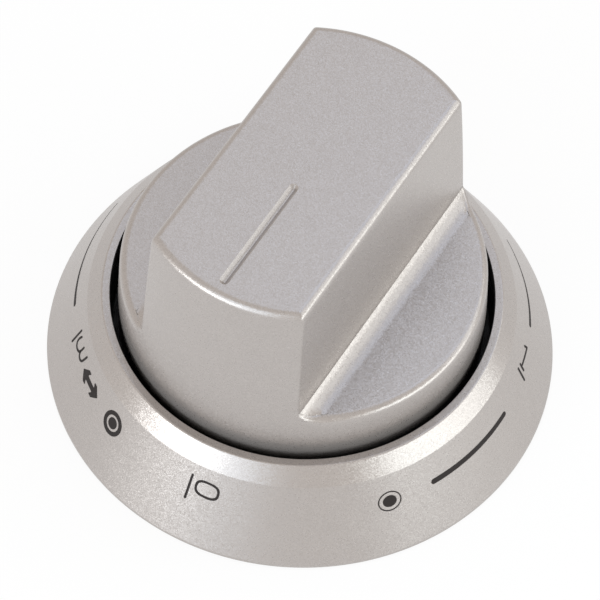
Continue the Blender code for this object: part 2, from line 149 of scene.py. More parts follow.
# Extra points beside the ends of long straights, so that the rounds don't shade the flats.
def heldOutline(outline):
    held = []
    for index, (x, y) in enumerate(outline):
        here = Vector((x, y))
        after = Vector(outline[(index + 1) % len(outline)])
        length = (after - here).length
        held.append((x, y))
        if length > holdGap * 6:
            held.append(tuple(here.lerp(after, holdGap / length)))
            held.append(tuple(here.lerp(after, 1.0 - holdGap / length)))
    return held


# Walls between rows of vertices; each row is a closed loop of the same count.
def addWalls(bm, rows):
    for lower, upper in zip(rows, rows[1:]):
        for index in range(len(lower)):
            after = (index + 1) % len(lower)
            bm.faces.new((lower[index], lower[after], upper[after], upper[index]))


# A (radius, height) outline in millimetres, turned about Z.
def turnedMesh(name, outline, steps):
    bm = bmesh.new()
    rows = []
    for angle in evenSteps(0.0, fullTurn, steps)[:-1]:
        turnX, turnY = cos(angle) * mm, sin(angle) * mm
        places = [(radius * turnX, radius * turnY, height * mm) for radius, height in outline]
        rows.append([bm.verts.new(place) for place in places])
    addWalls(bm, rows + rows[:1])
    return meshFrom(name, bm)


# A closed skin over (height, outline) levels of equal count, in millimetres, lowest first.
def loftedMesh(name, levels):
    bm = bmesh.new()
    rows = []
    for height, outline in levels:
        rows.append([bm.verts.new((x * mm, y * mm, height * mm)) for x, y in outline])
    addWalls(bm, rows)
    bm.faces.new(rows[0][::-1])
    bm.faces.new(rows[-1])
    bmesh.ops.remove_doubles(bm, verts=bm.verts, dist=weldGap * mm)
    return meshFrom(name, bm)


# A solid turned shape over its (radius, height) outline, lowest first, with flat ends.
def rodMesh(name, outline, steps=96):
    levels = []
    for radius, height in outline:
        levels.append((height, arcPoints(radius, 0.0, fullTurn, steps)[:-1]))
    return loftedMesh(name, levels)


def blockMesh(name, low, high):
    outline = ((low[0], low[1]), (high[0], low[1]), (high[0], high[1]), (low[0], high[1]))
    return loftedMesh(name, [(low[2], outline), (high[2], outline)])


# An upright plate from its (reach, height) outline in millimetres, turned about Z.
def plateMesh(name, outline, thickness, turn):
    bm = bmesh.new()
    side = thickness * mm / 2
    face = bm.faces.new([bm.verts.new((reach * mm, side, height * mm)) for reach, height in outline])
    grown = bmesh.ops.extrude_face_region(bm, geom=[face])
    moved = [item for item in grown["geom"] if isinstance(item, bmesh.types.BMVert)]
    bmesh.ops.translate(bm, vec=(0.0, -2 * side, 0.0), verts=moved)
    bmesh.ops.rotate(bm, cent=(0.0, 0.0, 0.0), matrix=Matrix.Rotation(turn, 3, "Z"), verts=bm.verts)
    return meshFrom(name, bm)


# Nodes

# An input gets either a plain value or another node's output.
def setInputs(tree, node, inputs):
    for key, value in inputs.items():
        if isinstance(value, bpy.types.NodeSocket):
            tree.links.new(value, node.inputs[key])
        else:
            node.inputs[key].default_value = value


# Adds a node and returns its outputs.
def addNode(tree, kind, inputs, operation=None):
    node = tree.nodes.new(kind)
    if operation:
        node.operation = operation
    setInputs(tree, node, inputs)
    return node.outputs


def mathNode(tree, operation, *values):
    return addNode(tree, "ShaderNodeMath", dict(enumerate(values)), operation)[0]


def plus(tree, first, second):
    return mathNode(tree, "ADD", first, second)


def times(tree, first, second):
    return mathNode(tree, "MULTIPLY", first, second)


def vectorNode(tree, operation, *values):
    return addNode(tree, "ShaderNodeVectorMath", dict(enumerate(values)), operation)[0]


def rangeNode(tree, value, fromLow, fromHigh, toLow=0.0, toHigh=1.0, interpolation="LINEAR"):
    node = tree.nodes.new("ShaderNodeMapRange")
    node.interpolation_type = interpolation
    setInputs(tree, node, dict(enumerate((value, fromLow, fromHigh, toLow, toHigh))))
    return node.outputs[0]


def mixColour(tree, share, first, second):
    node = tree.nodes.new("ShaderNodeMix")
    node.data_type = "RGBA"
    setInputs(tree, node, {0: share, 6: first, 7: second})
    return node.outputs[2]


# share is how much the second value counts.
def mixValue(tree, share, first, second):
    return plus(tree, times(tree, first, 1.0 - share), times(tree, second, share))


def shade(colour, factor=1.0):
    return tuple(channel * factor for channel in colour) + (1.0,)


def mixTones(tree, share, colour, darkest, lightest):
    return mixColour(tree, share, shade(colour, darkest), shade(colour, lightest))


def newMaterial(name):
    material = bpy.data.materials.new(name)
    material.use_nodes = True
    return material, material.node_tree, material.node_tree.nodes["Principled BSDF"]


def objectPlace(tree):
    return tree.nodes.new("ShaderNodeTexCoord").outputs["Object"]


def noiseNode(tree, place, grain, detail=2.0):
    inputs = {"Vector": place, "Scale": 1.0 / (grain * mm), "Detail": detail}
    return addNode(tree, "ShaderNodeTexNoise", inputs)[0]


def bumpNode(tree, height, depth):
    return addNode(tree, "ShaderNodeBump", {"Distance": depth * mm, "Height": height})[0]


# Materials

paintLook = {
    "colour": (0.414, 0.382, 0.363),
    "metallic": 0.7,
    "roughness": 0.32,
    "roughSpread": 0.05,
    "flakeSize": 0.11,
    "flakeTilt": 0.10,
    "flakeContrast": 0.09,
    "driftSize": 2.4,
    "driftShare": 0.25,
    "peelSize": 0.5,
    "peelDepth": 0.004,
    # the knob's fade to dark by the ring: bare moulding under thinning paint, and painted shade of the
    # gap
    "fadeLow": 10.4,
    "fadeHigh": 15.0,
    "fadeGrain": 0.5,
    "fadeRagged": 0.8,
    "bareAndShadeColour": (0.012, 0.011, 0.011),
}


# Silver paint with its flakes; on the knob it thins out to the black moulding near the ring, and this
# darkening also paints in the shade of the narrow gap there.
def makePaint(name, fades):
    material, tree, shader = newMaterial(name)
    place, look = objectPlace(tree), paintLook
    inputs = {"Vector": place, "Scale": 1.0 / (look["flakeSize"] * mm)}
    flake = addNode(tree, "ShaderNodeTexVoronoi", inputs)["Color"]
    split = addNode(tree, "ShaderNodeSeparateColor", {0: flake})
    tone = mixValue(tree, look["driftShare"], split[0], noiseNode(tree, place, look["driftSize"]))
    contrast = look["flakeContrast"]
    colour = mixTones(tree, tone, look["colour"], 1.0 - contrast, 1.0 + contrast)

    # each flake lies a little differently in the lacquer
    tilt = look["flakeTilt"]
    lean = vectorNode(tree, "MULTIPLY_ADD", flake, (tilt,) * 3, (-tilt / 2,) * 3)
    peel = bumpNode(tree, noiseNode(tree, place, look["peelSize"], 1.0), look["peelDepth"])

    metallic = look["metallic"]
    # darker towards the ring: partly bare black moulding under thinning paint, partly painted shade of
    # the gap
    if fades:
        height = addNode(tree, "ShaderNodeSeparateXYZ", {0: place})["Z"]
        grain = noiseNode(tree, place, look["fadeGrain"])
        ragged = mathNode(tree, "MULTIPLY_ADD", grain, look["fadeRagged"] * mm, height)
        low, high = look["fadeLow"] * mm, look["fadeHigh"] * mm
        coverAndGapShade = rangeNode(tree, ragged, low, high, interpolation="SMOOTHSTEP")
        colour = mixColour(tree, coverAndGapShade, shade(look["bareAndShadeColour"]), colour)
        metallic = times(tree, coverAndGapShade, metallic)
    roughness, spread = look["roughness"], look["roughSpread"]
    setInputs(tree, shader, {
        "Base Color": colour,
        "Metallic": metallic,
        "Roughness": rangeNode(tree, split[1], 0.0, 1.0, roughness - spread, roughness + spread),
        "Normal": vectorNode(tree, "NORMALIZE", vectorNode(tree, "ADD", peel, lean)),
    })
    return material


# cloudGrains is how many grains wide the darker and lighter clouds are, and more holds
# settings that go to the shader as they stand
mouldingLook = {
    "cloudGrains": 12,
    "darkest": 0.8,
    "lightest": 1.25,
    "roughSpread": 0.08,
    "blackMoulding": {"colour": (0.012, 0.012, 0.012), "roughness": 0.55, "grain": 0.12, "depth": 0.01},
    "gasketRubber": {"colour": (0.028, 0.028, 0.028), "roughness": 0.8, "grain": 0.2, "depth": 0.03},
    "whiteNylon": {"colour": (0.72, 0.70, 0.64), "roughness": 0.45, "grain": 0.3, "depth": 0.01,
                   "more": {"Subsurface Weight": 0.15, "Subsurface Scale": 0.0005}},
    "printInk": {"colour": (0.017, 0.013, 0.012), "roughness": 0.6, "grain": 0.1, "depth": 0.004,
                 "more": {"Specular IOR Level": 0.22}},
}


def makeMoulding(name):
    material, tree, shader = newMaterial(name)
    place, common, look = objectPlace(tree), mouldingLook, mouldingLook[name]
    grain, roughness, spread = look["grain"], look["roughness"], common["roughSpread"]
    cloud = noiseNode(tree, place, grain * common["cloudGrains"])
    setInputs(tree, shader, {
        "Base Color": mixTones(tree, cloud, look["colour"], common["darkest"], common["lightest"]),
        "Roughness": rangeNode(tree, cloud, 0.3, 0.7, roughness - spread, roughness + spread),
        "Normal": bumpNode(tree, noiseNode(tree, place, grain, 3.0), look["depth"]),
    })
    setInputs(tree, shader, look.get("more", {}))
    return material


# stretch is how the scale of the fine lines changes along X, Y and Z
metalLook = {
    "stainSize": 2.5,
    "stainShare": 0.4,
    "darkest": 0.8,
    "lightest": 1.15,
    "roughSpread": 0.1,
    "lineDepth": 0.004,
    "springSteel": {"colour": (0.56, 0.55, 0.54), "roughness": 0.3, "grain": 0.3,
                    "stretch": (1.0, 1.0, 8.0)},
    "bushSteel": {"colour": (0.50, 0.48, 0.44), "roughness": 0.42, "grain": 0.25,
                  "stretch": (1.0, 1.0, 6.0)},
}


def makeMetal(name):
    material, tree, shader = newMaterial(name)
    place, common, look = objectPlace(tree), metalLook, metalLook[name]
    roughness, spread = look["roughness"], common["roughSpread"]
    stretched = addNode(tree, "ShaderNodeMapping", {"Vector": place, "Scale": look["stretch"]})
    lines = noiseNode(tree, stretched[0], look["grain"], 3.0)
    tone = mixValue(tree, common["stainShare"], lines, noiseNode(tree, place, common["stainSize"]))
    setInputs(tree, shader, {
        "Base Color": mixTones(tree, tone, look["colour"], common["darkest"], common["lightest"]),
        "Metallic": 1.0,
        "Roughness": rangeNode(tree, lines, 0.25, 0.75, roughness - spread, roughness + spread),
        "Normal": bumpNode(tree, lines, common["lineDepth"]),
    })
    return material


knobPaint = makePaint("knobPaint", True)
ringPaint = makePaint("ringPaint", False)
blackMoulding = makeMoulding("blackMoulding")
gasketRubber = makeMoulding("gasketRubber")
whiteNylon = makeMoulding("whiteNylon")
printInk = makeMoulding("printInk")
springSteel = makeMetal("springSteel")
bushSteel = makeMetal("bushSteel")
print("materials made")


# Dial ring

ringLook = {
    "footRadius": 31.0,
    "footHeight": 0.6,
    "footChamfer": 0.2,
    "footRound": 0.15,
    "shoulderRadius": 25.9,
    "shoulderHeight": 10.35,
    "shoulderRound": 0.35,
    "crestRadius": 24.0,
    "crestRound": 0.3,
    "crestStart": 94.0,
    "height": 12.45,
    "lipRadius": 23.1,
    "lipRound": 0.12,
    "lipDrop": 0.05,
    "lipDepth": 3.0,
    "wall": 1.6,
    "sleeve": 1.2,
    "sleeveGap": 0.3,
    "pocketDepth": 1.0,
    "pocketRound": 0.3,
    "edge": 0.1,
    "facets": 288,
}


def makeDialRing():
    look = ringLook
    lip, foot, footHeight = look["lipRadius"], look["footRadius"], look["footHeight"]
    edge, chamfer, footRound = look["edge"], look["footChamfer"], look["footRound"]
    lipTop = look["height"] - look["lipDrop"]
    ledge = lipTop - look["lipDepth"]
    innerFoot = foot - look["wall"]
    sleeveRadius = lip + look["sleeve"] + look["sleeveGap"]
    centre = (look["crestRadius"], look["height"] - look["crestRound"])
    reach = look["shoulderRadius"] - centre[0]
    drop = centre[1] - look["shoulderHeight"]
    bandAngle = acos(look["crestRound"] / hypot(reach, drop)) - atan2(drop, reach)
    crest = arcPoints(look["crestRound"], radians(look["crestStart"]), bandAngle, 8, centre)
    corners = [(lip, lipTop, look["lipRound"])]
    corners += [(radius, height, 0.0) for radius, height in crest]
    corners += [
        (look["shoulderRadius"], look["shoulderHeight"], look["shoulderRound"]),
        (foot, footHeight, footRound),
        (foot, chamfer, edge),
        (foot - chamfer, 0.0, edge),
        (innerFoot, 0.0, footRound),
        (innerFoot, footHeight, 0.0),
        (sleeveRadius, ledge - look["pocketDepth"], look["pocketRound"]),
        (sleeveRadius, ledge, 0.0),
        (lip, ledge, edge),
    ]
    mesh = turnedMesh("dialRing", heldOutline(roundedOutline(corners, 10.0)), look["facets"])
    ring = addPiece("dialRing", mesh, ringPaint)
    mesh.materials.append(blackMoulding)

    # the inside is bare moulding: faces that look inwards, or down inside the foot; on the lip's bore
    # wall the black also paints in the shade of the narrow gap
    leastTilt = 0.3
    for face in mesh.polygons:
        radius = hypot(face.center.x, face.center.y)
        outward = face.normal.x * face.center.x + face.normal.y * face.center.y
        looksDown = radius < innerFoot * mm and face.normal.z < -leastTilt
        face.material_index = 1 if looksDown or outward < -leastTilt * radius else 0
    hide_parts("dial_ring")
    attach(ring, "dial")


makeDialRing()
print("dial ring made")


# Printed marks: drawn flat, x along the ring from the "off" place and y up the flare,
# then wrapped on the flare by Geometry Nodes. A mark's place is its azimuth from there
# in degrees and its slant, the way up the flare in millimetres.

markLook = {
    "lift": 0.02,
    "sink": 0.03,
    "middleRadius": 27.3,
    "divisions": 2,
    "bendStep": 1.2,
    "tickStroke": 0.31,
    "digitStroke": 0.31,
    # (azimuth, slant) of a tick's bottom and top
    "ticks": [
        ((2.52, 5.85), (2.82, 9.31)),
        ((104.64, 6.27), (105.08, 8.31)),
        ((206.9, 6.5), (207.3, 9.0)),
        ((309.39, 6.64), (309.46, 9.18)),
    ],
    # (azimuth, slant) places along an arc, then its first and last width
    "arcs": [
        ([(66.06, 7.17), (92.57, 7.10)], 0.75, 0.64),
        ([(119.86, 6.98), (133.0, 6.85), (146.0, 7.0)], 0.52, 0.1),
        ([(266.0, 6.65), (281.7, 6.95), (291.5, 7.28), (299.6, 7.54)], 0.12, 0.54),
    ],
    # azimuth, slant and the radii of each edge, along the ring and up the flare
    "discs": [
        (53.69, 7.25, (1.474, 1.375), (1.315, 1.209)),
        (53.69, 7.25, (0.87, 0.80)),
        (336.53, 7.68, (1.576, 1.66), (1.034, 1.08)),
        (336.53, 7.68, (0.73, 0.77)),
    ],
    "zero": {"azimuth": 7.45, "slant": 8.04, "length": 2.87, "width": 2.04, "turn": -2.5, "power": 0.72},
    # digit, azimuth, slant and turn
    "digits": [("one", 109.65, 7.57, -6.0), ("two", 212.1, 7.9, 0.0), ("three", 314.24, 8.26, 0.0)],
    # rounds are the corners' from the tip to the shaft
    "arrow": {"azimuth": 323.8, "slant": 7.81, "length": 4.48, "headLength": 1.67, "headWidth": 2.0,
              "barb": 0.67, "notch": 0.4, "shaft": 0.73, "rounds": (0.1, 0.12, 0.1, 0.08)},
}

# Each line's (up, across) places from the digit's centre. Digits stand with their top
# towards growing azimuth, and lines of more than two places are smooth.
digitLines = {
    "one": [
        [(-1.43, 0.0), (1.44, 0.0)],
        [(1.44, 0.0), (1.21, 0.61)],
        [(-1.49, 0.46), (-1.48, -0.68)],
    ],
    "two": [
        [(0.85, 0.84), (1.25, 0.49), (1.35, 0.0), (1.15, -0.55), (0.7, -0.72), (0.2, -0.55),
         (-0.6, 0.22), (-1.4, 0.82)],
        [(-1.4, 0.82), (-1.4, -0.78)],
    ],
    "three": [
        [(0.03, -0.11), (0.26, -0.55), (0.60, -0.69), (1.0, -0.65), (1.31, -0.33), (1.45, 0.22),
         (1.58, 0.85)],
        [(-1.44, 0.78), (-1.60, 0.22), (-1.53, -0.38), (-1.15, -0.71), (-0.66, -0.74),
         (-0.22, -0.55), (0.02, -0.11), (0.12, 0.74)],
    ],
}


def along(azimuth):
    return radians(azimuth) * markLook["middleRadius"]


# Flat points from a mark's own centre, turned and moved to the mark's place.
def placed(points, azimuth, slant, turn=0.0):
    cosine, sine = cos(radians(turn)), sin(radians(turn))
    return [(along(azimuth) + x * cosine - y * sine, slant + x * sine + y * cosine) for x, y in points]


# A closed oval round its centre; a power below 1 squares it off.
def ovalPoints(radii, steps=48, power=1.0):
    points = []
    for angle in evenSteps(0.0, fullTurn, steps)[:-1]:
        x, y = cos(angle), sin(angle)
        points.append((copysign(abs(x) ** power, x) * radii[0],
                       copysign(abs(y) ** power, y) * radii[1]))
    return points


# A flat band round a line of (x, y) points, from one width to the other, with round ends.
def strokeOutline(points, startWidth, endWidth):
    left, right, directions = [], [], []
    last = len(points) - 1
    for index, (x, y) in enumerate(points):
        before, after = points[max(index - 1, 0)], points[min(index + 1, last)]
        direction = atan2(after[1] - before[1], after[0] - before[0])
        half = (startWidth + (endWidth - startWidth) * index / last) / 2
        offset = (-sin(direction) * half, cos(direction) * half)
        left.append((x + offset[0], y + offset[1]))
        right.append((x - offset[0], y - offset[1]))
        directions.append(direction)
    endTurn, startTurn = directions[-1] - quarterTurn, directions[0] + quarterTurn
    endCap = arcPoints(endWidth / 2, endTurn, endTurn + pi, 8, points[-1])
    startCap = arcPoints(startWidth / 2, startTurn, startTurn + pi, 8, points[0])
    return right[:-1] + endCap + left[-2:0:-1] + startCap[:-1]


# A thin slab from one closed outline, or from an outer and an inner one.
def addSlab(bm, *loops):
    skins = []
    for height in (-markLook["sink"] * mm, markLook["lift"] * mm):
        skin = [[bm.verts.new((x * mm, y * mm, height)) for x, y in loop] for loop in loops]
        edges = []
        for verts in skin:
            for index, vert in enumerate(verts):
                edges.append(bm.edges.new((vert, verts[(index + 1) % len(verts)])))
        bmesh.ops.triangle_fill(bm, use_beauty=True, edges=edges)
        skins.append(skin)
    for rows in zip(*skins):
        addWalls(bm, rows)


# A curve through all the given points.
def smoothLine(points, steps=8):
    line = []
    last = len(points) - 1
    for index in range(last):
        before, here = Vector(points[max(index - 1, 0)]), Vector(points[index])
        after, beyond = Vector(points[index + 1]), Vector(points[min(index + 2, last)])
        for share in evenSteps(0.0, 1.0, steps)[:-1]:
            square, cube = share ** 2, share ** 3
            place = 0.5 * (2 * here + (after - before) * share
                           + (2 * before - 5 * here + 4 * after - beyond) * square
                           + (3 * here - before - 3 * after + beyond) * cube)
            line.append(tuple(place))
    line.append(tuple(points[-1]))
    return line


# An arc along the ring through its (azimuth, slant) places, stepped finely enough to bend.
def addArc(bm, places, startWidth, endWidth):
    points = []
    for (azimuth, slant), (nextAzimuth, nextSlant) in zip(places, places[1:]):
        steps = max(2, int(abs(nextAzimuth - azimuth) / markLook["bendStep"]))
        for share in evenSteps(0.0, 1.0, steps)[:-1]:
            turn = azimuth + (nextAzimuth - azimuth) * share
            points.append((along(turn), slant + (nextSlant - slant) * share))
    points.append((along(places[-1][0]), places[-1][1]))
    addSlab(bm, strokeOutline(points, startWidth, endWidth))


def addZero(bm):
    look = markLook["zero"]
    loops = []
    for grow in (markLook["digitStroke"] / 2, -markLook["digitStroke"] / 2):
        radii = (look["length"] / 2 + grow, look["width"] / 2 + grow)
        loop = ovalPoints(radii, 64, look["power"])
        loops.append(placed(loop, look["azimuth"], look["slant"], look["turn"]))
    addSlab(bm, *loops)


def addDigit(bm, digit, azimuth, slant, turn):
    stroke = markLook["digitStroke"]
    for line in digitLines[digit]:
        points = smoothLine(line) if len(line) > 2 else line
        addSlab(bm, strokeOutline(placed(points, azimuth, slant, turn), stroke, stroke))


def addDoubleArrow(bm):
    look = markLook["arrow"]
    tip = look["length"] / 2
    base = tip - look["headLength"]
    places = [(tip, 0.0), (base + look["barb"], look["headWidth"] / 2), (base, look["headWidth"] / 2),
              (base + look["notch"], look["shaft"] / 2)]
    half = [(x, y, radius) for (x, y), radius in zip(places, look["rounds"])]
    corners = half + [(-x, y, radius) for x, y, radius in reversed(half)]
    corners += [(x, -y, radius) for x, y, radius in reversed(corners)][1:-1]
    addSlab(bm, placed(roundedOutline(corners, 30.0), look["azimuth"], look["slant"]))


# A tree with inputs for amounts and for counts, and for a mesh if it works on one.
def newTree(name, amounts, counts, takesMesh=False):
    tree = bpy.data.node_groups.new(name, "GeometryNodeTree")
    sockets = [("Geometry", "NodeSocketGeometry")] if takesMesh else []
    sockets += [(label, "NodeSocketFloat") for label in amounts]
    sockets += [(label, "NodeSocketInt") for label in counts]
    for label, kind in sockets:
        tree.interface.new_socket(label, in_out="INPUT", socket_type=kind)
    tree.interface.new_socket("Geometry", in_out="OUTPUT", socket_type="NodeSocketGeometry")
    return tree, tree.nodes.new("NodeGroupInput").outputs


# Moves a tree's points to the place with this radius, angle about Z and height.
def moveAbout(tree, geometry, radius, angle, height):
    x = times(tree, radius, mathNode(tree, "COSINE", angle))
    y = times(tree, radius, mathNode(tree, "SINE", angle))
    place = addNode(tree, "ShaderNodeCombineXYZ", {0: x, 1: y, 2: height})[0]
    inputs = {"Geometry": geometry, "Position": place}
    return addNode(tree, "GeometryNodeSetPosition", inputs)[0]


# Every tree ends the same way: real geometry with its material on it.
def finishTree(tree, geometry, material):
    real = addNode(tree, "GeometryNodeRealizeInstances", {0: geometry})[0]
    inputs = {"Geometry": real, "Material": material}
    painted = addNode(tree, "GeometryNodeSetMaterial", inputs)[0]
    addNode(tree, "NodeGroupOutput", {0: painted})


def runTree(piece, tree, values):
    modifier = piece.modifiers.new(tree.name, "NODES")
    modifier.node_group = tree
    for item in tree.interface.items_tree:
        if item.in_out == "INPUT" and item.name in values:
            modifier[item.identifier] = values[item.name]
    bakeModifiers(piece)


def wrapTree():
    amounts = ("Foot Radius", "Foot Height", "Flare Angle", "Middle Radius", "Off Angle")
    tree, given = newTree("wrapOnFlare", amounts, ("Divisions",), takesMesh=True)
    inputs = {"Mesh": given["Geometry"], "Level": given["Divisions"]}
    divided = addNode(tree, "GeometryNodeSubdivideMesh", inputs)[0]
    position = tree.nodes.new("GeometryNodeInputPosition").outputs[0]
    flat, slant, lift = addNode(tree, "ShaderNodeSeparateXYZ", {0: position})
    across = mathNode(tree, "COSINE", given["Flare Angle"])
    upward = mathNode(tree, "SINE", given["Flare Angle"])
    angle = mathNode(tree, "DIVIDE", flat, given["Middle Radius"])
    angle = plus(tree, angle, given["Off Angle"])
    radius = mathNode(tree, "SUBTRACT", given["Foot Radius"], times(tree, slant, across))
    radius = plus(tree, radius, times(tree, lift, upward))
    height = plus(tree, given["Foot Height"], times(tree, slant, upward))
    height = plus(tree, height, times(tree, lift, across))
    finishTree(tree, moveAbout(tree, divided, radius, angle, height), printInk)
    return tree


def makeMarks():
    bm = bmesh.new()
    for ends in markLook["ticks"]:
        points = [(along(azimuth), slant) for azimuth, slant in ends]
        addSlab(bm, strokeOutline(points, markLook["tickStroke"], markLook["tickStroke"]))
    for places, startWidth, endWidth in markLook["arcs"]:
        addArc(bm, places, startWidth, endWidth)
    for azimuth, slant, *edges in markLook["discs"]:
        addSlab(bm, *[placed(ovalPoints(radii), azimuth, slant) for radii in edges])
    addZero(bm)
    for digit, azimuth, slant, turn in markLook["digits"]:
        addDigit(bm, digit, azimuth, slant, turn)
    addDoubleArrow(bm)

    marks = addPiece("printedMarks", meshFrom("printedMarks", bm), sharpAngle=50.0)
    slope = atan2(ringLook["shoulderHeight"] - ringLook["footHeight"],
                  ringLook["footRadius"] - ringLook["shoulderRadius"])
    runTree(marks, wrapTree(), {
        "Foot Radius": ringLook["footRadius"] * mm,
        "Foot Height": ringLook["footHeight"] * mm,
        "Flare Angle": slope,
        "Middle Radius": markLook["middleRadius"] * mm,
        "Off Angle": -quarterTurn,
        "Divisions": markLook["divisions"],
    })
    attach(marks, "dial")


makeMarks()
print("printed marks made")


# Knob shell

knobLook = {
    "radius": 22.15,
    "wall": 1.8,
    "skirtBottom": 6.4,
    "gripWidth": 20.1,
    "sideDraft": 2.3,
    "endRadius": 20.25,
    "endDraft": 2.0,
    "cornerRound": 0.6,
    "leastRound": 0.05,
    "topRound": 0.9,
    "footFillet": 2.8,
    "footTurn": 54.0,
    "discHeight": 18.85,
    "discEdge": 0.9,
    "edgeFade": 0.6,
    "pointerWidth": 1.05,
    "pointerFrom": 2.8,
    "pointerTo": 18.6,
    # the pointer's cutter: its height above the grip's top, and how much its half width grows
    "pointerWalls": [(-0.4, -0.44), (-0.35, -0.38), (-0.05, -0.03), (0.0, 0.05), (1.0, 1.05)],
    "sideSteps": 88,
    "cornerSteps": 8,
    "endSteps": 56,
    "skirtSteps": 6,
    "edgeSteps": 9,
    "filletSteps": 12,
    "wallSteps": 16,
    "topSteps": 9,
}
shellLow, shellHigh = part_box("knob_shell")
gripTop = shellHigh.z / mm
stemBottom = shellLow.z / mm
filletReach = knobLook["footFillet"] * sin(radians(knobLook["footTurn"]))


def gripHalfWidth(height, wall=0.0):
    draft = tan(radians(knobLook["sideDraft"]))
    return knobLook["gripWidth"] / 2 + (gripTop - height) * draft - wall


# The knob's turned side: upright in the ring, then leaning in more and more.
def knobEndRadius(height, wall=0.0):
    if height <= ringLook["height"]:
        return knobLook["radius"] - wall
    rise = height - ringLook["height"]
    fullRise = gripTop - ringLook["height"]
    lean = tan(radians(knobLook["endDraft"]))
    bend = (knobLook["radius"] - knobLook["endRadius"] - lean * fullRise) / fullRise ** 2
    return knobLook["radius"] - lean * rise - bend * rise ** 2 - wall


# The grip's plan at one height: two straight sides, two arcs and four round corners.
def gripOutline(halfWidth, endRadius, inset=0.0, coarse=1):
    look = knobLook
    stepCounts = [look["sideSteps"], look["cornerSteps"], look["endSteps"]]
    sideSteps, cornerSteps, endSteps = [max(2, count // coarse) for count in stepCounts]
    halfWidth -= inset
    endRadius -= inset
    corner = max(look["cornerRound"] - inset, look["leastRound"])
    centreX = halfWidth - corner
    centreY = sqrt((endRadius - corner) ** 2 - centreX ** 2)
    cornerEnd = quarterTurn - atan2(centreX, centreY)
    angles = evenSteps(0.0, atan2(centreY, halfWidth), sideSteps // 2)[:-1]
    quarter = [(halfWidth, halfWidth * tan(angle)) for angle in angles]
    quarter += arcPoints(corner, 0.0, cornerEnd, cornerSteps, (centreX, centreY))
    quarter += arcPoints(endRadius, cornerEnd, quarterTurn, endSteps // 2)[1:]
    half = quarter + [(-x, y) for x, y in reversed(quarter[:-1])]
    return half + [(-x, -y) for x, y in half[1:-1]]


def pushedOut(points, radius):
    moved = []
    for x, y in points:
        scale = max(1.0, radius / hypot(x, y))
        moved.append((x * scale, y * scale))
    return moved


# How far the rounded rim lies inside the turned side: the round follows the flat,
# then climbs the hollow curve beside the grip and fades out at its wall.
def rimInset(across, height):
    look = knobLook
    baseWidth = gripHalfWidth(look["discHeight"]) + filletReach
    reach = min(max(baseWidth - across, 0.0), filletReach)
    if reach >= filletReach:
        return 0.0
    climb = look["footFillet"] - sqrt(look["footFillet"] ** 2 - reach ** 2)
    radius = look["discEdge"] * (1.0 - look["edgeFade"] * reach / filletReach)
    share = min(max((height - look["discHeight"] - climb) / radius + 1.0, 0.0), 1.0)
    return radius * (1.0 - sqrt(1.0 - share ** 2))


# Keeps points inside the rim; those on the open flat can be held back a little more.
def pulledIn(points, height, more=0.0):
    moved = []
    for x, y in points:
        length = hypot(x, y)
        across = abs(x) / length * knobEndRadius(height)
        limit = knobEndRadius(height) - rimInset(across, height)
        if across > gripHalfWidth(knobLook["discHeight"]) + filletReach:
            limit -= more
        scale = min(1.0, limit / length)
        moved.append((x * scale, y * scale))
    return moved


def knobLevels():
    look = knobLook
    top, edge, fillet = look["discHeight"], look["discEdge"], look["footFillet"]
    baseWidth = gripHalfWidth(top) + filletReach
    edgeFoot = top - edge

    def discOutline(height, more=0.0):
        radius = knobEndRadius(height)
        return pulledIn(pushedOut(gripOutline(baseWidth, radius), radius), height, more)

    def wallOutline(height, flare=0.0, inset=0.0):
        return gripOutline(gripHalfWidth(height) + flare, knobEndRadius(height), inset)

    heights = [look["skirtBottom"], look["skirtBottom"] + holdGap]
    heights += evenSteps(ringLook["height"], edgeFoot, look["skirtSteps"])
    for angle in evenSteps(0.0, quarterTurn, look["edgeSteps"])[1:]:
        heights.append(edgeFoot + edge * sin(angle))
    levels = [(height, discOutline(height)) for height in heights]
    levels.append((top, discOutline(top, holdGap)))
    levels.append((top, pulledIn(gripOutline(baseWidth + holdGap, knobEndRadius(top)), top)))
    for angle in evenSteps(0.0, radians(look["footTurn"]), look["filletSteps"]):
        height = top + fillet * (1.0 - cos(angle))
        levels.append((height, pulledIn(wallOutline(height, filletReach - fillet * sin(angle)), height)))
    sideFoot = levels[-1][0]
    sideTop = gripTop - look["topRound"]
    for height in evenSteps(sideFoot, sideTop, look["wallSteps"])[1:-1]:
        levels.append((height, wallOutline(height)))
    for angle in evenSteps(0.0, quarterTurn, look["topSteps"]):
        height = sideTop + look["topRound"] * sin(angle)
        levels.append((height, wallOutline(height, inset=look["topRound"] * (1.0 - cos(angle)))))
    levels.append((gripTop, wallOutline(gripTop, inset=look["topRound"] + look["leastRound"])))
    return levels


def hollowLevels():
    wall = knobLook["wall"]
    roof = gripTop - wall
    discRoof = knobLook["discHeight"] - wall

    def outline(height):
        return gripOutline(gripHalfWidth(height, wall), knobEndRadius(height, wall), coarse=3)

    wide = pushedOut(outline(discRoof), knobEndRadius(discRoof, wall))
    levels = [(knobLook["skirtBottom"] - cutPast, wide), (discRoof, wide)]
    return levels + [(height, outline(height)) for height in evenSteps(discRoof, roof, 6)]


stemLook = {
    "radius": 6.2,
    "chamfer": 0.3,
    "bore": 4.7,
    "socketTop": 21.3,
    "core": 3.6,
    "keyHalf": 1.1,
    "keyReach": 5.5,
    "webBottom": 11.2,
    "web": 1.2,
    "webs": 6,
    "spine": 1.5,
    "spines": 2,
    "overlap": 0.75,
    "grooveLow": 2.4,
    "grooveHigh": 3.6,
    "grooveRadius": 5.6,
}


# The pointer's cutter is a slot with round ends, whose walls slope to a narrow bottom.
def pointerMesh():
    look = knobLook
    halfWidth = look["pointerWidth"] / 2
    near = (0.0, -look["pointerFrom"] - halfWidth)
    far = (0.0, -look["pointerTo"] + halfWidth)
    levels = []
    for above, grow in look["pointerWalls"]:
        radius = halfWidth + grow
        outline = arcPoints(radius, pi, fullTurn, 16, far)
        outline += arcPoints(radius, 0.0, pi, 16, near)
        levels.append((gripTop + above, outline))
    return loftedMesh("pointerCutter", levels)


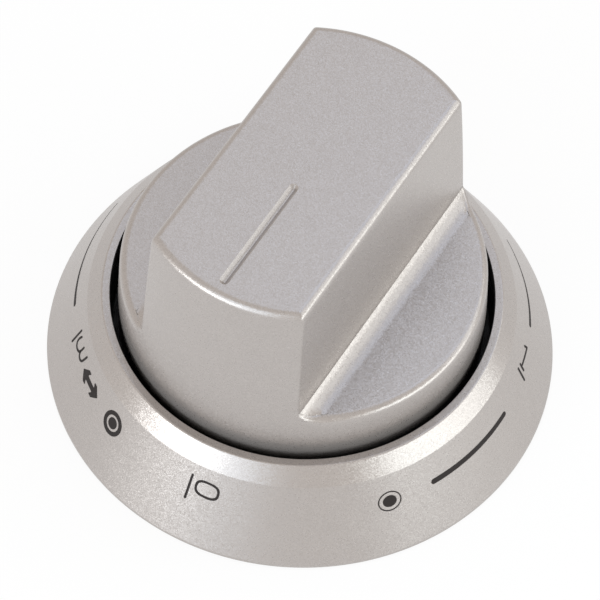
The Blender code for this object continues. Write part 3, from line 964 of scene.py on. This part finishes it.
# Corners for one rectangle of a turned shape, each with the same round.
def ringCorners(inner, outer, bottom, top, edge):
    return [(inner, top, edge), (outer, top, edge), (outer, bottom, edge), (inner, bottom, edge)]


# The stem with its webs and spines, joined to each other before they join the shell.
def makeStem():
    stem = stemLook
    buried = knobLook["wall"] / 2
    inner = stem["radius"] - stem["overlap"]
    webBottom, webTop, spineTop = stem["webBottom"], knobLook["discHeight"] - buried, gripTop - buried
    radius, chamfer = stem["radius"], stem["chamfer"]
    outline = [(radius - chamfer, stemBottom), (radius, stemBottom + chamfer), (radius, spineTop)]
    core = addObject("core", rodMesh("stem", outline))
    webEnd = knobEndRadius(webTop, buried)
    web = [(inner, webBottom), (webEnd, webBottom), (webEnd, webTop), (inner, webTop)]
    spine = [(knobEndRadius(height, buried), height) for height in evenSteps(webBottom, spineTop, 8)]
    spine = [(inner, webBottom)] + spine + [(inner, spineTop)]
    plates = [(web, stem["web"], stem["webs"]), (spine, stem["spine"], stem["spines"])]
    for outline, thickness, count in plates:
        for turn in evenSteps(quarterTurn, quarterTurn + fullTurn, count)[:-1]:
            applyBoolean(core, plateMesh("plate", outline, thickness, turn), "UNION")
    return core


def makeKnobShell():
    look, stem = knobLook, stemLook
    shell = addPiece("knobShell", loftedMesh("knobShell", knobLevels()), knobPaint)
    applyBoolean(shell, loftedMesh("hollow", hollowLevels()), "DIFFERENCE", blackMoulding)
    stemBody = makeStem()
    applyBoolean(shell, stemBody.data, "UNION", blackMoulding)
    bpy.data.objects.remove(stemBody, do_unlink=True)

    bore, core = stem["bore"], stem["core"]
    below, socketTop = stemBottom - cutPast, stem["socketTop"]
    keyLow, keyHigh = (0.0, -stem["keyHalf"], below), (stem["keyReach"], stem["keyHalf"], socketTop)
    outer = stem["radius"] + cutPast
    groove = ringCorners(stem["grooveRadius"], outer, stem["grooveLow"], stem["grooveHigh"], 0.0)
    for tool in (
        rodMesh("socket", [(bore, below), (bore, socketTop)]),
        rodMesh("core", [(core, socketTop - cutPast / 2), (core, gripTop - look["wall"])], 64),
        blockMesh("keyway", keyLow, keyHigh),
        turnedMesh("groove", [corner[:2] for corner in groove], 96),
    ):
        applyBoolean(shell, tool, "DIFFERENCE", blackMoulding)
    applyBoolean(shell, pointerMesh(), "DIFFERENCE", knobPaint)
    shadeByAngle(shell.data, 32.0)
    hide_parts("knob_shell")
    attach(shell, "knob")


makeKnobShell()
print("knob shell made")


# The pieces underneath

carrierLook = {
    "round": 0.15,
    "innerRound": 0.3,
    "flange": 1.4,
    "plateLow": 1.6,
    "plateHigh": 3.2,
    "step": 0.5,
    "stemGap": 0.3,
    "facets": 192,
}


def makeCarrier():
    low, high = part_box("ring_carrier")
    look = carrierLook
    bottom, top, reach = low.z / mm, high.z / mm, high.x / mm
    lip = ringLook["lipRadius"]
    sleeve = lip + ringLook["sleeve"]
    hole = stemLook["radius"] + look["stemGap"]
    edge, innerEdge = look["round"], look["innerRound"]
    flange, plateLow, plateHigh = [bottom + look[key] for key in ("flange", "plateLow", "plateHigh")]
    corners = [
        (lip, top, edge),
        (sleeve, top, edge),
        (sleeve, flange, 0.0),
        (reach, flange, edge),
        (reach, bottom, edge),
        (lip - look["step"], bottom, edge),
        (lip - look["step"], plateLow, innerEdge),
        (hole, plateLow, edge),
        (hole, plateHigh, edge),
        (lip, plateHigh, innerEdge),
    ]
    mesh = turnedMesh("ringCarrier", heldOutline(roundedOutline(corners, 15.0)), look["facets"])
    carrier = addPiece("ringCarrier", mesh, blackMoulding)
    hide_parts("ring_carrier")
    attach(carrier, "dial")


gasketLook = {"width": 5.0, "round": 0.25, "roundStep": 15.0, "facets": 192}
washerLook = {"width": 3.0, "round": 0.1, "roundStep": 22.0, "facets": 128}


def flatRing(name, low, high, look):
    outer = high.x / mm
    corners = ringCorners(outer - look["width"], outer, low.z / mm, high.z / mm, look["round"])
    return turnedMesh(name, heldOutline(roundedOutline(corners, look["roundStep"])), look["facets"])


def makeGasket():
    low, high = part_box("base_gasket")
    gasket = addPiece("baseGasket", flatRing("baseGasket", low, high, gasketLook), gasketRubber)
    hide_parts("base_gasket")
    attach(gasket, "dial")


def makeWasher():
    low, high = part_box("slip_washer")
    washer = addPiece("slipWasher", flatRing("slipWasher", low, high, washerLook), whiteNylon)
    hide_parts("slip_washer")
    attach(washer, "dial")


springLook = {
    "wire": 0.4,
    "coilRadius": 9.0,
    "turns": 3.0,
    "closedRise": 0.95,
    "stepsPerTurn": 64,
    "wireSteps": 16,
}


# A coil whose first and last turns lie nearly flat; the turns between share the open height.
def springTree():
    amounts = ("Coil Radius", "Wire Radius", "Turns", "Low", "High", "Closed Rise")
    tree, given = newTree("coilSpring", amounts, ("Points", "Wire Points"))
    line = tree.nodes.new("GeometryNodeCurvePrimitiveLine").outputs[0]
    points = addNode(tree, "GeometryNodeResampleCurve", {"Curve": line, "Count": given["Points"]})[0]
    share = tree.nodes.new("GeometryNodeSplineParameter").outputs["Factor"]
    turn = times(tree, share, given["Turns"])
    angle = times(tree, turn, fullTurn)
    openEnd = mathNode(tree, "SUBTRACT", given["Turns"], 1.0)
    openFrom = plus(tree, given["Low"], given["Closed Rise"])
    openTo = mathNode(tree, "SUBTRACT", given["High"], given["Closed Rise"])
    first = rangeNode(tree, turn, 0.0, 1.0, given["Low"], openFrom)
    middle = rangeNode(tree, turn, 1.0, openEnd, 0.0, mathNode(tree, "SUBTRACT", openTo, openFrom))
    last = rangeNode(tree, turn, openEnd, given["Turns"], 0.0, given["Closed Rise"])
    height = plus(tree, plus(tree, first, middle), last)
    coil = moveAbout(tree, points, given["Coil Radius"], angle, height)
    inputs = {"Resolution": given["Wire Points"], "Radius": given["Wire Radius"]}
    section = addNode(tree, "GeometryNodeCurvePrimitiveCircle", inputs)[0]
    inputs = {"Curve": coil, "Profile Curve": section, "Fill Caps": True}
    finishTree(tree, addNode(tree, "GeometryNodeCurveToMesh", inputs)[0], springSteel)
    return tree


def makeSpring():
    look = springLook
    low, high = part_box("seat_spring")
    spring = addPiece("seatSpring", bpy.data.meshes.new("seatSpring"))
    wire = look["wire"] * mm
    runTree(spring, springTree(), {
        "Coil Radius": look["coilRadius"] * mm,
        "Wire Radius": wire,
        "Turns": look["turns"],
        "Low": low.z + wire,
        "High": high.z - wire,
        "Closed Rise": look["closedRise"] * mm,
        "Points": int(look["turns"] * look["stepsPerTurn"]) + 1,
        "Wire Points": look["wireSteps"],
    })
    shadeByAngle(spring.data, 40.0)
    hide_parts("seat_spring")
    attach(spring, "dial")


bushLook = {
    "radius": 4.4,
    "bore": 3.05,
    "flat": 1.6,
    "leadIn": 1.3,
    "leadDepth": 0.3,
    "keyHalf": 0.8,
    "keyReach": 5.2,
    "edge": 0.25,
    "pocketHalf": 1.8,
    "pocketLow": 3.7,
    "pocketHigh": 16.3,
}


def makeBush():
    look = bushLook
    low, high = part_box("shaft_bush")
    bottom, top = low.z / mm, high.z / mm
    radius, edge = look["radius"], look["edge"]
    outline = [(radius - edge, bottom), (radius, bottom + edge), (radius, top - edge),
               (radius - edge, top)]
    bush = addPiece("shaftBush", rodMesh("shaftBush", outline))
    half = look["keyHalf"]
    key = blockMesh("key", (radius / 2, -half, bottom), (look["keyReach"], half, top))
    applyBoolean(bush, key, "UNION")

    # the D bore with its lead-in, then the clip's pocket
    reach = acos(look["flat"] / look["bore"])
    levels = []
    start, end = quarterTurn + reach, 5 * quarterTurn - reach
    leadEnd = bottom + look["leadDepth"]
    for height, grow in ((bottom - cutPast, look["leadIn"]), (leadEnd, 0.0), (top + cutPast, 0.0)):
        levels.append((height, arcPoints(look["bore"] + grow, start, end, 48)))
    applyBoolean(bush, loftedMesh("bore", levels), "DIFFERENCE")
    pocketLow = (-look["pocketHalf"], -radius - cutPast, look["pocketLow"])
    pocketHigh = (look["pocketHalf"], 0.0, look["pocketHigh"])
    applyBoolean(bush, blockMesh("pocket", pocketLow, pocketHigh), "DIFFERENCE")
    bush.data.materials.clear()
    bush.data.materials.append(bushSteel)
    shadeByAngle(bush.data, 25.0)
    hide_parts("shaft_bush")
    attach(bush, "knob")


clipLook = {"thickness": 0.4, "bow": 0.5, "steps": 28, "edge": 0.06}


def makeClip():
    look = clipLook
    low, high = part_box("spindle_clip")
    left, right = low.x / mm, high.x / mm
    levels = []
    for share in evenSteps(0.0, 1.0, look["steps"]):
        back = low.y / mm + look["bow"] * sin(pi * share)
        front = back + look["thickness"]
        outline = ((left, back), (right, back), (right, front), (left, front))
        levels.append(((low.z + (high.z - low.z) * share) / mm, outline))
    clip = addPiece("spindleClip", loftedMesh("spindleClip", levels), springSteel)
    bevelEdges(clip, look["edge"], 30.0)
    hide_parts("spindle_clip")
    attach(clip, "knob")


circlipLook = {"inner": 5.9, "width": 2.2, "opening": 70.0, "edge": 0.08}


def makeCirclip():
    look = circlipLook
    low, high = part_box("stem_circlip")
    tip = look["width"] / 2
    middle = look["inner"] + tip
    start = radians(look["opening"] / 2)
    end = fullTurn - start
    endCentre = (middle * cos(end), middle * sin(end))
    startCentre = (middle * cos(start), middle * sin(start))
    outline = arcPoints(look["inner"] + look["width"], start, end, 96)
    outline += arcPoints(tip, end, end + pi, 16, endCentre)[1:-1]
    outline += arcPoints(look["inner"], end, start, 96)
    outline += arcPoints(tip, start + pi, start + fullTurn, 16, startCentre)[1:-1]
    mesh = loftedMesh("stemCirclip", [(low.z / mm, outline), (high.z / mm, outline)])
    circlip = addPiece("stemCirclip", mesh, springSteel)
    bevelEdges(circlip, look["edge"], 50.0)
    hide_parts("stem_circlip")
    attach(circlip, "knob")


makeCarrier()
makeGasket()
makeWasher()
makeSpring()
makeBush()
makeClip()
makeCirclip()
print("pieces underneath made")


# Camera at the photograph's angle

# yaw, pitch and roll are in radians, the clipping distances in metres
cameraLook = {
    "distance": 478.83,
    "azimuth": -60.822,
    "elevation": 58.545,
    "lens": 234.0,
    "sensor": 36.0,
    "yaw": -0.00058076,
    "pitch": -0.01163055,
    "roll": -0.04922333,
    "clipStart": 0.01,
    "clipEnd": 20.0,
}


# The direction at an azimuth and an elevation in degrees.
def directionAt(azimuth, elevation):
    turn, rise = radians(azimuth), radians(elevation)
    return Vector((cos(rise) * cos(turn), cos(rise) * sin(turn), sin(rise)))


def makeCamera():
    look = cameraLook
    azimuth = radians(look["azimuth"])
    back = directionAt(look["azimuth"], look["elevation"])
    right = Vector((-sin(azimuth), cos(azimuth), 0.0))
    base = Matrix((right, back.cross(right), back))
    tilt = (Matrix.Rotation(look["roll"], 3, "Z") @ Matrix.Rotation(look["pitch"], 3, "X")
            @ Matrix.Rotation(look["yaw"], 3, "Y"))
    turned = (tilt @ base).transposed()
    data = bpy.data.cameras.new("photoCamera")
    data.lens = look["lens"]
    data.sensor_width = look["sensor"]
    data.clip_start = look["clipStart"]
    data.clip_end = look["clipEnd"]
    camera = addObject("photoCamera", data)
    camera.matrix_world = Matrix.Translation(back * look["distance"] * mm) @ turned.to_4x4()
    bpy.context.scene.camera = camera


makeCamera()
print("camera made")


# Light, floor and world

# Lengths are in metres here. Azimuths are measured from the camera's, positive to the
# image's right.
stageLook = {
    "floorSize": 6.0,
    "floorDrop": 0.00005,
    "floorTone": 0.86,
    "floorShadow": 0.12,
    "worldColour": (0.891, 0.840, 0.791),
    "lampWidth": 0.32,
    "lampDistance": 0.60,
    "aimHeight": 0.01,
    "lamps": [
        # name, azimuth, elevation, height, power, colour
        ("frontBox", -30.0, 22.0, 0.56, 0.99, (0.68, 0.84, 1.0)),
        ("leftBox", -50.0, 8.0, 0.32, 1.55, (0.92, 0.97, 1.0)),
        ("rightBox", 50.0, 8.0, 0.32, 1.03, (0.87, 0.97, 1.0)),
        ("sideBox", 80.0, 8.0, 0.32, 0.87, (0.91, 0.985, 1.0)),
        ("backSideBox", 105.0, 35.0, 0.32, 0.43, (0.82, 0.93, 1.0)),
        ("backRightBox", 135.0, 62.0, 0.32, 0.25, (0.44, 0.65, 1.0)),
        ("backBox", 180.0, 62.0, 0.32, 0.18, (0.56, 0.74, 1.0)),
    ],
}


def makeLamps():
    look = stageLook
    for name, azimuth, elevation, height, power, colour in look["lamps"]:
        data = bpy.data.lights.new(name, "AREA")
        data.shape = "RECTANGLE"
        data.size = look["lampWidth"]
        data.size_y = height
        data.energy = power
        data.color = colour
        lamp = addObject(name, data)
        towards = directionAt(cameraLook["azimuth"] + azimuth, elevation)
        lamp.location = towards * look["lampDistance"] + Vector((0.0, 0.0, look["aimHeight"]))
        lamp.rotation_euler = towards.to_track_quat("Z", "Y").to_euler()


# The camera and reflections see the floor as white with a faint shadow, and light
# bounces off it as off a pale, matt one.
def makeFloor():
    size, height = stageLook["floorSize"] / 2, -stageLook["floorDrop"]
    corners = [(x * size, y * size, height) for x, y in ((-1, -1), (1, -1), (1, 1), (-1, 1))]
    mesh = bpy.data.meshes.new("floor")
    mesh.from_pydata(corners, [], [(0, 1, 2, 3)])
    material, tree, shader = newMaterial("paleFloor")
    setInputs(tree, shader, {
        "Base Color": shade((stageLook["floorTone"],) * 3),
        "Roughness": 1.0,
        "Specular IOR Level": 0.0,
    })
    rays = tree.nodes.new("ShaderNodeLightPath").outputs
    seen = mathNode(tree, "MAXIMUM", rays["Is Camera Ray"], rays["Is Glossy Ray"])
    seen = mathNode(tree, "MAXIMUM", seen, rays["Is Transmission Ray"])
    white = times(tree, seen, 1.0 - stageLook["floorShadow"])
    glow = tree.nodes.new("ShaderNodeEmission").outputs[0]
    mixed = addNode(tree, "ShaderNodeMixShader", {0: white, 1: shader.outputs[0], 2: glow})[0]
    setInputs(tree, tree.nodes["Material Output"], {"Surface": mixed})
    floor = addPiece("floor", mesh, material)


def makeWorld():
    world = bpy.data.worlds.new("softRoom")
    bpy.context.scene.world = world
    world.use_nodes = True
    background = world.node_tree.nodes["Background"]
    background.inputs["Color"].default_value = shade(stageLook["worldColour"])


makeLamps()
makeFloor()
makeWorld()
bpy.context.scene.view_settings.view_transform = "Standard"
print("stage made")
